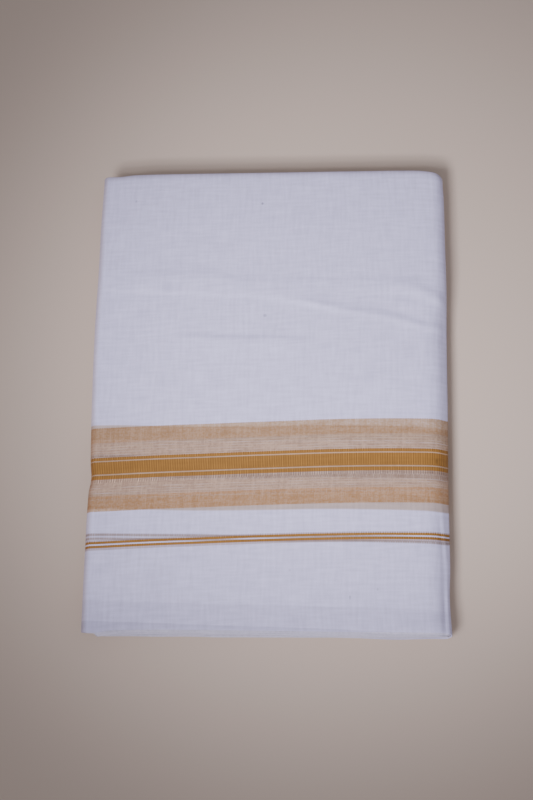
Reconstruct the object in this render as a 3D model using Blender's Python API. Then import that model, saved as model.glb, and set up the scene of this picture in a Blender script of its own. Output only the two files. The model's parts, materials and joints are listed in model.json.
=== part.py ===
"""A cotton dhoti, folded into a flat packet and laid face up.

One long cloth is folded four times across its width and sixteen times along its length. The
packet lies on its underside, in metres, with +Z up, +Y towards the far fold and +X towards the
right-hand turn, where the outer leaf rounds the whole pack. The origin is under its middle.

  top_leaf        the outermost stretch: a tucked tail, the left turn, the bordered face, the
                  right turn that goes round the whole pack, and the underside
  second_leaf     the stretch inside it, whose front fold shows below the face's front fold
  hidden_layers   all the leaves between, as one rounded solid with a ridge for each leaf
"""

import math

import bmesh
import bpy

# The whole cloth, and how it is folded.
CLOTH_LENGTH = 3.80
CLOTH_WIDTH = 1.27
LEAVES = 16
FOLDS_ACROSS = 4

# The folded packet.
PACKET_WIDTH = CLOTH_LENGTH / LEAVES
PACKET_DEPTH = CLOTH_WIDTH / FOLDS_ACROSS
PACKET_HEIGHT = 0.0155
WALL = 0.0011
GAP = 0.0003
STEP_IN = WALL + GAP

# The turns, as radii of a wall's middle line.
RIGHT_TURN = (PACKET_HEIGHT - WALL) / 2
MIDDLE_Z = PACKET_HEIGHT / 2
TAIL_Z = MIDDLE_Z + GAP / 2 + WALL / 2
TOP_Z = PACKET_HEIGHT - WALL / 2
LEFT_TURN = (TOP_Z - TAIL_Z) / 2
TAIL_LENGTH = 0.006

# The lower half of the pack starts further in on the left, and stands out at the front.
LOWER_RECESS = 0.0095
LOWER_STANDS_OUT = 0.0026
SECOND_STANDS_OUT = 0.0014
HALVES_BLEND = 0.004
CORNER_KEPT = 0.007
CORNER_BLEND = 0.004

# The puffed-up middle of the face, and the long soft crease across it.
CROWN = 0.0008
CROWN_FLATNESS = 4
CREASE_HEIGHT = 0.0005
CREASE_SPREAD = 0.006
CREASE_FADE = 0.030
FACE_PUFF = 1.0
SECOND_PUFF = 0.8

# How round a fold's edge is: distance in from the edge, share of the wall's thickness there.
EDGE_ROUNDING = ((0.0, 0.34), (0.00045, 1.0))

# Outline of the face, in metres: (y, x) down the two sides and (x, y) along the two ends.
LEFT_SIDE = (
    (-0.160, -0.1188), (-0.110, -0.1186), (-0.068, -0.1182), (-0.058, -0.1168), (-0.046, -0.1182),
    (0.003, -0.1194), (0.048, -0.1199), (0.088, -0.1192), (0.152, -0.1187),
)
RIGHT_SIDE = (
    (-0.160, 0.1186), (-0.115, 0.1191), (-0.070, 0.1182), (-0.003, 0.1193), (0.041, 0.1191),
    (0.076, 0.1203), (0.110, 0.1204), (0.141, 0.1194), (0.153, 0.1186),
)
FRONT_END = (
    (-0.119, -0.1604), (-0.109, -0.1608), (-0.099, -0.1597), (-0.049, -0.1589), (0.050, -0.1586),
    (0.106, -0.1583), (0.119, -0.1580),
)
BACK_END = (
    (-0.119, 0.1520), (-0.108, 0.1523), (-0.096, 0.1541), (-0.060, 0.1562), (0.000, 0.1581),
    (0.056, 0.1601), (0.100, 0.1614), (0.109, 0.1605), (0.114, 0.1592), (0.119, 0.1550),
)
CREASE = (
    (-0.112, 0.071), (-0.086, 0.070), (-0.024, 0.068), (0.008, 0.064), (0.029, 0.060),
    (0.055, 0.055), (0.076, 0.052), (0.119, 0.049),
)

# The leaves in hidden_layers, from the lowest up: how far each one's folds stand in from the
# outline at the front and the back, and from the left-hand end of its half of the pack.
HIDDEN_LEAVES = (
    # front, back, left
    (0.0004, 0.0009, 0.0016),
    (0.0000, 0.0014, 0.0010),
    (0.0007, 0.0006, 0.0000),
    (0.0003, 0.0011, 0.0002),
    (0.0009, 0.0017, 0.0003),
    (0.0002, 0.0008, 0.0000),
    (0.0008, 0.0013, 0.0024),
    (0.0013, 0.0007, 0.0013),
    (0.0005, 0.0016, 0.0004),
    (0.0011, 0.0010, 0.0003),
    (0.0006, 0.0005, 0.0009),
    (0.0010, 0.0012, 0.0017),
)
GROOVE_DEPTH = 0.0005
RIDGE_STARTS = 0.28
RIDGE_ENDS = 0.72
CORNER_ROUND = 0.0018
CORNER_ANGLES = (22.5, 67.5)

# Mesh steps along the turns and arms, and from front to back.
ARM_STEPS = 20
TURN_STEPS = 8
TAIL_STEPS = 2
END_STEPS = 14
DEPTH_STEPS = 20

# Edges bent more than this many degrees are drawn crisp.
CRISP_ANGLE = 50.0

SURFACES = {
    # node: colour, roughness
    "top_leaf": ((0.62, 0.62, 0.68), 0.85),
    "second_leaf": ((0.60, 0.60, 0.66), 0.85),
    "hidden_layers": ((0.56, 0.56, 0.62), 0.85),
}


def smooth(share):
    """0 to 1 with a level start and end."""
    share = min(max(share, 0.0), 1.0)
    return share * share * (3.0 - 2.0 * share)


def read_edge(table, place):
    """The outline's value at a place along it, eased from row to row."""
    previous = table[0]
    for row in table[1:]:
        if place <= row[0]:
            share = smooth((place - previous[0]) / (row[0] - previous[0]))
            return previous[1] + (row[1] - previous[1]) * share
        previous = row
    return previous[1]


def mix(a, b, share):
    return a + (b - a) * share


def relief(x, y):
    """How far the face is puffed up above the packet's flat rim."""
    across = max(0.0, 1.0 - (2.0 * x / PACKET_WIDTH) ** CROWN_FLATNESS)
    along = max(0.0, 1.0 - (2.0 * y / PACKET_DEPTH) ** CROWN_FLATNESS)
    away = (y - read_edge(CREASE, x)) / CREASE_SPREAD
    reach = smooth((x - CREASE[0][0]) / CREASE_FADE)
    return across * along * CROWN + across * reach * CREASE_HEIGHT * math.exp(-away * away)


def arm(start, end, z, facing, steps):
    """Level points of a section, ends left out: (x, z, outward x, outward z)."""
    return [(mix(start, end, i / steps), z, 0.0, facing) for i in range(1, steps)]


def turn(x, z, radius, start, end, steps):
    """Points round a fold, from one angle to another, in degrees from +X."""
    points = []
    for i in range(steps + 1):
        angle = math.radians(mix(start, end, i / steps))
        out_x = math.cos(angle)
        out_z = math.sin(angle)
        points.append((x + radius * out_x, z + radius * out_z, out_x, out_z))
    return points


def top_leaf_section(left, right):
    """Tail, left turn, face, right turn and underside, in a slice across the packet."""
    left_x = left + LEFT_TURN + WALL / 2
    right_x = right - RIGHT_TURN - WALL / 2
    points = [(left_x + TAIL_LENGTH, TAIL_Z, 0.0, -1.0)]
    points += arm(left_x + TAIL_LENGTH, left_x, TAIL_Z, -1.0, TAIL_STEPS)
    points += turn(left_x, TAIL_Z + LEFT_TURN, LEFT_TURN, 270.0, 90.0, TURN_STEPS)
    points += arm(left_x, right_x, TOP_Z, 1.0, ARM_STEPS)
    points += turn(right_x, MIDDLE_Z, RIGHT_TURN, 90.0, -90.0, TURN_STEPS)
    points += arm(right_x, left + LOWER_RECESS, WALL / 2, -1.0, ARM_STEPS // 2)
    points.append((left + LOWER_RECESS, WALL / 2, 0.0, -1.0))
    return points


def inside_left_turn(low, high):
    """How far in from the left side a leaf between two heights starts, to fit in the left turn."""
    reach = LEFT_TURN - WALL / 2 - GAP
    centre = TAIL_Z + LEFT_TURN
    away = max(abs(low - centre), abs(high - centre))
    return LEFT_TURN + WALL / 2 - math.sqrt(max(reach * reach - away * away, 0.0))


def second_leaf_section(left, right):
    """The upper arm, the right turn inside the top leaf's, and the lower arm."""
    radius = RIGHT_TURN - STEP_IN
    right_x = right - RIGHT_TURN - WALL / 2
    start = left + inside_left_turn(TOP_Z - STEP_IN - WALL / 2, TOP_Z - STEP_IN + WALL / 2)
    points = [(start, TOP_Z - STEP_IN, 0.0, 1.0)]
    points += arm(start, right_x, TOP_Z - STEP_IN, 1.0, ARM_STEPS)
    points += turn(right_x, MIDDLE_Z, radius, 90.0, -90.0, TURN_STEPS)
    points += arm(right_x, left + LOWER_RECESS + GAP, WALL / 2 + STEP_IN, -1.0, ARM_STEPS // 2)
    points.append((left + LOWER_RECESS + GAP, WALL / 2 + STEP_IN, 0.0, -1.0))
    return points


def stands_out(x, left, z, amount):
    """The lower half of the pack stands out at the front, but not beside the left-hand end."""
    lower = smooth((MIDDLE_Z - z) / HALVES_BLEND + 0.5)
    beside = smooth((x - left - CORNER_KEPT) / CORNER_BLEND)
    return mix(amount, LOWER_STANDS_OUT, lower) * beside


def depth_stations():
    """(share of the depth, distance in from the nearer fold, share of the wall) from front to back."""
    rows = [(0.0, inset, share) for inset, share in EDGE_ROUNDING]
    rows += [(i / DEPTH_STEPS, 0.0, 1.0) for i in range(1, DEPTH_STEPS)]
    rows += [(1.0, -inset, share) for inset, share in reversed(EDGE_ROUNDING)]
    return rows


def side_at(side, share):
    """A side's x at a share of the packet's depth, measured along that side."""
    x = side[0][1]
    return read_edge(side, mix(read_edge(FRONT_END, x), read_edge(BACK_END, x), share))


def folded_wall(name, section, puff, upper_stands_out):
    """One leaf as a closed wall: its section, carried from the front fold to the back fold."""
    mesh = bmesh.new()
    rings = []
    for share, inset, thick in depth_stations():
        left = side_at(LEFT_SIDE, share)
        points = section(left, side_at(RIGHT_SIDE, share))
        outer = []
        inner = []
        for place, (x, z, out_x, out_z) in enumerate(points):
            front = read_edge(FRONT_END, x) - stands_out(x, left, z, upper_stands_out)
            y = mix(front, read_edge(BACK_END, x), share) + inset
            at_end = place in (0, len(points) - 1)
            half = WALL / 2 * thick * (EDGE_ROUNDING[0][1] if at_end else 1.0)
            lift = relief(x, y) * puff if z > MIDDLE_Z + LEFT_TURN else 0.0
            outer.append(mesh.verts.new((x + out_x * half, y, z + out_z * half + lift)))
            inner.append(mesh.verts.new((x - out_x * half, y, z - out_z * half + lift)))
        rings.append(outer + inner[::-1])
    join_rings(mesh, rings)
    count = len(rings[0])
    for ring in (rings[0], rings[-1]):
        for i in range(count // 2 - 1):
            mesh.faces.new((ring[i], ring[i + 1], ring[count - 2 - i], ring[count - 1 - i]))
    return finish(name, mesh)


def join_rings(mesh, rings):
    """Faces between each ring of points and the next."""
    for ring, following in zip(rings, rings[1:]):
        count = len(ring)
        for i in range(count):
            j = (i + 1) % count
            mesh.faces.new((ring[i], ring[j], following[j], following[i]))


def leaf_ring(z, front_in, back_in, left_in):
    """The outline of the hidden leaves at one height, as corner-rounded points."""
    reach = RIGHT_TURN + WALL / 2 - 2 * STEP_IN
    bulge = math.sqrt(max(reach * reach - (z - MIDDLE_Z) ** 2, 0.0))
    right_in = RIGHT_TURN + WALL / 2 - bulge
    corners = []
    for degrees in CORNER_ANGLES:
        angle = math.radians(degrees)
        corners.append((CORNER_ROUND * (1 - math.cos(angle)), CORNER_ROUND * (1 - math.sin(angle))))

    def front(x):
        left = read_edge(LEFT_SIDE, -PACKET_DEPTH / 2)
        return read_edge(FRONT_END, x) - stands_out(x, left, z, 0.0) + front_in

    def back(x):
        return read_edge(BACK_END, x) - back_in

    def left_side(y):
        return read_edge(LEFT_SIDE, y) + left_in

    def right_side(y):
        return read_edge(RIGHT_SIDE, y) - right_in

    points = []
    corner_share = CORNER_ROUND / PACKET_DEPTH
    between = [i / DEPTH_STEPS for i in range(1, DEPTH_STEPS)]
    side_shares = [corner_share] + between + [1.0 - corner_share]
    near = -PACKET_DEPTH / 2
    x0 = left_side(near)
    x1 = right_side(near)
    points += [(x0 + dx, front(x0 + dx) + dy) for dx, dy in corners]
    for i in range(END_STEPS + 1):
        x = mix(x0 + CORNER_ROUND, x1 - CORNER_ROUND, i / END_STEPS)
        points.append((x, front(x)))
    points += [(x1 - dx, front(x1 - dx) + dy) for dx, dy in reversed(corners)]
    for share in side_shares:
        y = mix(front(x1), back(x1), share)
        points.append((right_side(y), y))
    far = PACKET_DEPTH / 2
    x0 = left_side(far)
    x1 = right_side(far)
    points += [(x1 - dx, back(x1 - dx) - dy) for dx, dy in corners]
    for i in range(END_STEPS + 1):
        x = mix(x1 - CORNER_ROUND, x0 + CORNER_ROUND, i / END_STEPS)
        points.append((x, back(x)))
    points += [(x0 + dx, back(x0 + dx) - dy) for dx, dy in reversed(corners)]
    for share in reversed(side_shares):
        y = mix(front(x0), back(x0), share)
        points.append((left_side(y), y))
    return [(x, y, z) for x, y in points]


def hidden_layers():
    """The leaves between the two outer ones: a ridge for each, and a groove between neighbours."""
    bottom = 2 * STEP_IN
    leaf = (PACKET_HEIGHT - 4 * STEP_IN) / len(HIDDEN_LEAVES)
    notch_top = TAIL_Z + WALL / 2 + GAP
    ends = []
    for index, (front_in, back_in, left_in) in enumerate(HIDDEN_LEAVES):
        low = bottom + index * leaf
        if low + leaf <= MIDDLE_Z + GAP:
            left_in += LOWER_RECESS + GAP
        elif low < notch_top:
            left_in = LEFT_TURN + WALL / 2 + TAIL_LENGTH + GAP
        else:
            left_in += inside_left_turn(low, low + leaf)
        ends.append((low, front_in, back_in, left_in))
    rows = []
    for index, (low, front_in, back_in, left_in) in enumerate(ends):
        below = ends[max(index - 1, 0)]
        groove = [max(a, b) + GROOVE_DEPTH for a, b in zip((front_in, back_in, left_in), below[1:])]
        rows.append((low, *groove))
        rows.append((low + leaf * RIDGE_STARTS, front_in, back_in, left_in))
        rows.append((low + leaf * RIDGE_ENDS, front_in, back_in, left_in))
    last = ends[-1]
    rows.append((last[0] + leaf, *[value + GROOVE_DEPTH for value in last[1:]]))
    mesh = bmesh.new()
    rings = [[mesh.verts.new(point) for point in leaf_ring(*row)] for row in rows]
    join_rings(mesh, rings)
    mesh.faces.new(rings[0])
    mesh.faces.new(rings[-1])
    return finish("hidden_layers", mesh)


def finish(name, mesh):
    """Turns the mesh into a named object with its own material."""
    bmesh.ops.recalc_face_normals(mesh, faces=mesh.faces)
    data = bpy.data.meshes.new(name)
    mesh.to_mesh(data)
    mesh.free()
    piece = bpy.data.objects.new(name, data)
    bpy.context.scene.collection.objects.link(piece)
    colour, roughness = SURFACES[name]
    surface = bpy.data.materials.new(name + "_cotton")
    surface.use_nodes = True
    shader = surface.node_tree.nodes["Principled BSDF"]
    shader.inputs["Base Color"].default_value = (*colour, 1.0)
    shader.inputs["Roughness"].default_value = roughness
    shader.inputs["Metallic"].default_value = 0.0
    data.materials.append(surface)
    data.shade_smooth()
    data.set_sharp_from_angle(angle=math.radians(CRISP_ANGLE))
    return piece


def centre_over_origin(pieces):
    """Slides the packet so that the middle of its footprint is at the origin."""
    corners = [vertex.co for piece in pieces for vertex in piece.data.vertices]
    middle_x = (min(c.x for c in corners) + max(c.x for c in corners)) / 2
    middle_y = (min(c.y for c in corners) + max(c.y for c in corners)) / 2
    for piece in pieces:
        for vertex in piece.data.vertices:
            vertex.co.x -= middle_x
            vertex.co.y -= middle_y


def main():
    for old in list(bpy.data.objects):
        bpy.data.objects.remove(old, do_unlink=True)
    pieces = [
        folded_wall("top_leaf", top_leaf_section, FACE_PUFF, 0.0),
        folded_wall("second_leaf", second_leaf_section, SECOND_PUFF, SECOND_STANDS_OUT),
        hidden_layers(),
    ]
    centre_over_origin(pieces)


main()
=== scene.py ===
# %% [markdown]
# # A folded cotton dhoti
# A dhoti is one long piece of plain-woven white cotton, about 3.8 m by 1.27 m, with a striped
# border along its edges. It is sold pressed and folded into a flat packet, some 24 cm by 32 cm
# and 16 mm high. A packet like this could be a box with a picture of stripes on it, but then its
# sides would be blank. Here the cloth is folded for real: one grid of points is carried through
# every turn of the pack, so each side shows the edges and the turns that the fold leaves there.

# %% Tools and the fixed frame
import json
import math

import bmesh
import bpy
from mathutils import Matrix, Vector

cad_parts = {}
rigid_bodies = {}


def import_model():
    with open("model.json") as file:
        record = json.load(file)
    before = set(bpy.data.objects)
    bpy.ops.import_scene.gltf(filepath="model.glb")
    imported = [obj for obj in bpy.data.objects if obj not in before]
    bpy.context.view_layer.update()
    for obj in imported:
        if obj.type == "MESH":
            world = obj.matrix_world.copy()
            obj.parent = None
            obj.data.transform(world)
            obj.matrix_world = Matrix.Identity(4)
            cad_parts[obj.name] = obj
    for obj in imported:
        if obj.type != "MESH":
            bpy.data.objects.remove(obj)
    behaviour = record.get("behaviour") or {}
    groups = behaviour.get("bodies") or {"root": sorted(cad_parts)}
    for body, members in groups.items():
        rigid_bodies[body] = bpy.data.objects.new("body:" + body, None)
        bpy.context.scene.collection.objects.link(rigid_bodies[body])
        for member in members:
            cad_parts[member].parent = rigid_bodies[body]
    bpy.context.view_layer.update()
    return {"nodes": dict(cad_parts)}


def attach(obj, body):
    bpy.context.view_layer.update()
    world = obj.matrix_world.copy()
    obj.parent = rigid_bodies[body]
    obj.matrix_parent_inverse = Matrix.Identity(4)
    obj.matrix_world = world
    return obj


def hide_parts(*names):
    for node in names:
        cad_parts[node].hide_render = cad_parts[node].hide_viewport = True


for leftover in list(bpy.data.objects):
    bpy.data.objects.remove(leftover, do_unlink=True)
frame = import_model()
print("solids loaded:", sorted(frame["nodes"]))

# %% [markdown]
# ## The camera
# The packet is seen almost from straight above, from just in front of it. A camera could be aimed
# with a constraint, but a fixed place and turn is easier to read back. A 55 mm lens at 80 cm keeps
# the sides of the packet nearly parallel, and the long side of the frame stands upright.

# %% Camera
CAMERA_PLACE = (0.00034, -0.20376, 0.80868)
CAMERA_TILT = 14.0
CAMERA_ROLL = 0.9
LENS = 55.0

lens = bpy.data.cameras.new("overhead_camera")
lens.lens = LENS
lens.sensor_width = 36.0
camera = bpy.data.objects.new("overhead_camera", lens)
camera.location = CAMERA_PLACE
camera.rotation_euler = (math.radians(CAMERA_TILT), 0.0, math.radians(CAMERA_ROLL))
bpy.context.scene.collection.objects.link(camera)
bpy.context.scene.camera = camera
print("camera height in cm:", round(100 * CAMERA_PLACE[2]))

# %% [markdown]
# ## The floor
# The packet lies on a plain pale table top. A grid of a single face is enough, because nothing
# on it is raised.

# %% Floor
FLOOR_SIZE = 6.0
FLOOR_COLOUR = (0.68, 0.56, 0.4)
FLOOR_ROUGHNESS = 0.7


def object_from(name, mesh):
    """Turns a finished bmesh into an object at the origin."""
    data = bpy.data.meshes.new(name)
    mesh.to_mesh(data)
    mesh.free()
    made = bpy.data.objects.new(name, data)
    bpy.context.scene.collection.objects.link(made)
    return made


mesh = bmesh.new()
bmesh.ops.create_grid(mesh, x_segments=1, y_segments=1, size=FLOOR_SIZE / 2)
floor = object_from("floor", mesh)
floor_finish = bpy.data.materials.new("pale_table_top")
floor_finish.use_nodes = True
floor_shader = floor_finish.node_tree.nodes["Principled BSDF"]
floor_shader.inputs["Base Color"].default_value = (*FLOOR_COLOUR, 1.0)
floor_shader.inputs["Roughness"].default_value = FLOOR_ROUGHNESS
floor.data.materials.append(floor_finish)
print("floor is", FLOOR_SIZE, "m wide")

# %% [markdown]
# ## The light
# White cloth needs soft light with one direction to it, or its low creases vanish. A big soft box
# would do, but its light spreads evenly, and here the middle should be a little brighter than the
# corners. So the box is a bank of nine small spots. All nine aim at one point and their cones fade
# out at the same distance from it, while together they still cast one broad, soft shadow. Each
# gets the power that makes it light the cloth as much as its neighbours do. The room's own even
# glow fills in the shadow.

# %% Light
GLOW_COLOUR = (0.83, 0.8, 1.0)
ROOM_STRENGTH = 0.434
LAMP_TARGET = Vector((0.059, 0.035, 0.0))
LAMP_HEIGHT = 0.9
LEANS_LEFT = (0.5, 0.72, 0.94)
LEANS_FORWARD = (0.58, 0.88, 1.18)
LAMP_RADIUS = 0.1
POOL_RADIUS = 0.3265
LAMP_SHARE = 0.1273

for left in LEANS_LEFT:
    for forward in LEANS_FORWARD:
        reach = Vector((-left, -forward, 1.0)) * LAMP_HEIGHT
        light = bpy.data.lights.new("bank_lamp", "SPOT")
        light.energy = LAMP_SHARE * 4 * math.pi ** 2 * reach.length ** 3 / LAMP_HEIGHT
        light.color = GLOW_COLOUR
        light.shadow_soft_size = LAMP_RADIUS
        light.spot_size = 2 * math.atan(POOL_RADIUS / reach.length)
        light.spot_blend = 1.0
        lamp = bpy.data.objects.new("bank_lamp", light)
        lamp.location = LAMP_TARGET + reach
        lamp.rotation_mode = "QUATERNION"
        lamp.rotation_quaternion = reach.to_track_quat("Z", "Y")
        lamp.scale = (1.0, LAMP_HEIGHT / reach.length, 1.0)
        bpy.context.scene.collection.objects.link(lamp)

room = bpy.data.worlds.new("soft_room")
room.use_nodes = True
room.node_tree.nodes["Background"].inputs["Color"].default_value = (*GLOW_COLOUR, 1.0)
room.node_tree.nodes["Background"].inputs["Strength"].default_value = ROOM_STRENGTH
bpy.context.scene.world = room
watts = sorted(round(light.energy) for light in bpy.data.lights)
print("lamps:", len(watts), "of", watts[0], "to", watts[-1], "watts")

# %% [markdown]
# ## Folding the cloth in half, four times
# The cloth is first folded lengthwise into a band of four plies. The band is then folded in half
# four times, which makes sixteen leaves. Which leaf ends up where could be drawn by hand, but it is
# easy to get wrong, so a short loop folds a row of numbers the same way: the right-hand half turns
# over on to the left-hand half, until one pile is left.

# %% The order of the pile
LEAVES = 16


def fold_in_half(piles):
    """Turns the right-hand half of a row of piles over on to the left-hand half."""
    half = len(piles) // 2
    kept = piles[:half]
    turned = piles[half:]
    return [over[::-1] + under for over, under in zip(turned[::-1], kept)]


piles = [[leaf] for leaf in range(LEAVES)]
while len(piles) > 1:
    piles = fold_in_half(piles)
LEVEL = [piles[0].index(leaf) for leaf in range(LEAVES)]
print("levels met along the cloth, 0 on top:", LEVEL)

# %% [markdown]
# ## Heights and turns
# Every leaf lies a little lower than the one above it. Where the cloth turns back it makes a half
# circle between two levels, so the turns nest inside each other like the pages of a booklet. The
# lower half of the pack starts further in on the left, which is why the left side overhangs.

# %% Heights and turns
PACKET_HEIGHT = 0.0155
LEAF_PITCH = PACKET_HEIGHT / LEAVES
LEAF_THICKNESS = 0.00088
LOWER_RECESS = 0.0095
TAIL_LENGTH = 0.006
RIGHT_CENTRE_IN = PACKET_HEIGHT / 2
UPPER_LEFT_TURN = 3.5 * LEAF_PITCH
LEFT_STARTS = (
    # how far in from the left side each level's turn or open end stands, from the top down
    0.0, 0.0004, 0.0002, 0.0007, 0.0007, 0.0002, 0.0004, 0.0,
    0.0003, 0.0011, 0.0011, 0.0003, 0.0006, 0.0006, 0.0019, 0.0002,
)
RIGHT_STARTS = (0.0, 0.0001, 0.0003, 0.0, 0.0002, 0.0001, 0.0, 0.0001)


def level_height(level):
    return PACKET_HEIGHT - (level + 0.5) * LEAF_PITCH


def turn_radius(level, partner):
    return abs(level_height(level) - level_height(partner)) / 2


def left_partner(level):
    """The level that this one turns into on the left, or None at an open end of the cloth."""
    leaf = LEVEL.index(level)
    neighbour = leaf - 1 if leaf % 2 == 0 else leaf + 1
    return LEVEL[neighbour] if 0 <= neighbour < LEAVES else None


def left_start(level, left):
    """Where a level's flat part begins: beside its turn's centre, or at its open end."""
    partner = left_partner(level)
    inset = LEFT_STARTS[level] + (0.0 if level < LEAVES // 2 else LOWER_RECESS)
    if partner is None:
        return left + inset
    if level < LEAVES // 2:
        return left + inset + UPPER_LEFT_TURN + LEAF_THICKNESS / 2
    return left + inset + turn_radius(level, partner) + LEAF_THICKNESS / 2


def right_end(level, right):
    nest = min(level, LEAVES - 1 - level)
    return right - RIGHT_CENTRE_IN - RIGHT_STARTS[nest]


joined = {tuple(sorted((k, left_partner(k)))) for k in range(LEAVES) if left_partner(k) is not None}
print("left turns join levels:", sorted(joined))

# %% [markdown]
# ## The outline
# Nobody folds a cloth quite square. The four sides are short tables of measured points. The lower
# half of the pack stands out 2 to 3 mm at the front, and each leaf below the top one has its own
# small offset at the front and at the back.

# %% The outline
LEFT_SIDE = (
    (-0.159, -0.1194), (-0.109, -0.1195), (-0.067, -0.1192), (-0.057, -0.1178), (-0.045, -0.1189),
    (0.004, -0.1201), (0.049, -0.1205), (0.089, -0.1199), (0.122, -0.1198), (0.153, -0.1191),
)
RIGHT_SIDE = (
    (-0.159, 0.1196), (-0.134, 0.1183), (-0.114, 0.119), (-0.069, 0.1189), (-0.002, 0.1195),
    (0.042, 0.1197), (0.077, 0.1203), (0.111, 0.1199), (0.142, 0.1197), (0.154, 0.1191),
)
FRONT_END = (
    (-0.119, -0.1607), (-0.11, -0.1608), (-0.099, -0.159), (-0.049, -0.158), (0.05, -0.1577),
    (0.106, -0.1574), (0.119, -0.1574),
)
BACK_END = (
    (-0.119, 0.1534), (-0.108, 0.1537), (-0.096, 0.1553), (-0.06, 0.1568), (0.0, 0.1588),
    (0.056, 0.1607), (0.1, 0.1619), (0.109, 0.1612), (0.114, 0.1603), (0.119, 0.1581),
)
LOWER_FRONT = (
    (-0.119, -0.16), (-0.111, -0.1603), (-0.1096, -0.162), (-0.099, -0.1622), (-0.075, -0.1621),
    (-0.049, -0.1618), (-0.024, -0.1618), (0.041, -0.161), (0.054, -0.1611), (0.07, -0.1615),
    (0.086, -0.1617), (0.111, -0.1606), (0.119, -0.1614),
)
ENDS_IN = (
    # how far each level's front and back folds stand in, from the top down
    (0.0, 0.0), (-0.0012, 0.0008), (-0.0022, 0.0004), (-0.0017, 0.0012), (-0.0024, 0.0006),
    (-0.0019, 0.0014), (-0.0025, 0.0003), (-0.002, 0.001),
    (0.0004, 0.0006), (0.0, 0.0013), (0.0008, 0.0002), (0.0002, 0.0009), (0.0006, 0.0015),
    (0.0001, 0.0005), (0.0009, 0.0011), (0.0003, 0.0007),
)
print("points on the left and the right side:", len(LEFT_SIDE), "and", len(RIGHT_SIDE))

# %% [markdown]
# ## From points to folds
# A curve that takes its slope from the neighbouring points joins them without corners. Every fold
# below the face wanders a little on its own. At the front right the lower folds go back one by one
# like a stair, and at the front left the upper leaves start with a step.

# %% Curves and folds
def mix(a, b, share):
    return a + (b - a) * share


def smooth(share):
    """0 to 1 with a level start and end."""
    share = min(max(share, 0.0), 1.0)
    return share * share * (3.0 - 2.0 * share)


def read(table, place):
    """A smooth curve through the rows of a (place, value) table, held level past its ends."""
    if place <= table[0][0]:
        return table[0][1]
    if place >= table[-1][0]:
        return table[-1][1]
    after = next(i for i, row in enumerate(table) if row[0] >= place)

    def slope(i):
        low = table[max(i - 1, 0)]
        high = table[min(i + 1, len(table) - 1)]
        return (high[1] - low[1]) / (high[0] - low[0])

    (start, first), (end, last) = table[after - 1], table[after]
    span = end - start
    share = (place - start) / span
    bend = slope(after - 1) * (1.0 - share) - slope(after) * share
    return mix(first, last, smooth(share)) + span * share * (1.0 - share) * bend


FOLD_RIPPLE = 0.00022
RIPPLE_WAVES = ((61.0, 2.4, 0.6), (143.0, 5.1, 0.4))
BACK_START = 0.3
CORNER_ENDS = -0.111
CORNER_STEP = 0.0014
STAIR_STEP = 0.00038
STAIR_START = 0.045
STAIR_REACH = 0.04


def ripple(place, level):
    """A small slow wave, different on each level, as pressed folds have."""
    return sum(share * math.sin(place * rate + level * turn) for rate, turn, share in RIPPLE_WAVES)


def front_fold(level, x):
    inset = ENDS_IN[level][0]
    if level == 0:
        return read(FRONT_END, x)
    wave = FOLD_RIPPLE * ripple(x, level)
    if level < LEAVES // 2:
        return read(FRONT_END, x) + wave + inset * smooth((x - CORNER_ENDS) / CORNER_STEP)
    stair = STAIR_STEP * (LEAVES - 1 - level) * smooth((x - STAIR_START) / STAIR_REACH)
    return read(LOWER_FRONT, x) + wave + inset + stair


def back_fold(level, x):
    wave = FOLD_RIPPLE * ripple(x + BACK_START, level) if level else 0.0
    return read(BACK_END, x) + wave - ENDS_IN[level][1]


print("face in mm:", round(1000 * (read(RIGHT_SIDE, 0) - read(LEFT_SIDE, 0)), 1), "by",
      round(1000 * (back_fold(0, 0) - front_fold(0, 0)), 1))
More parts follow.
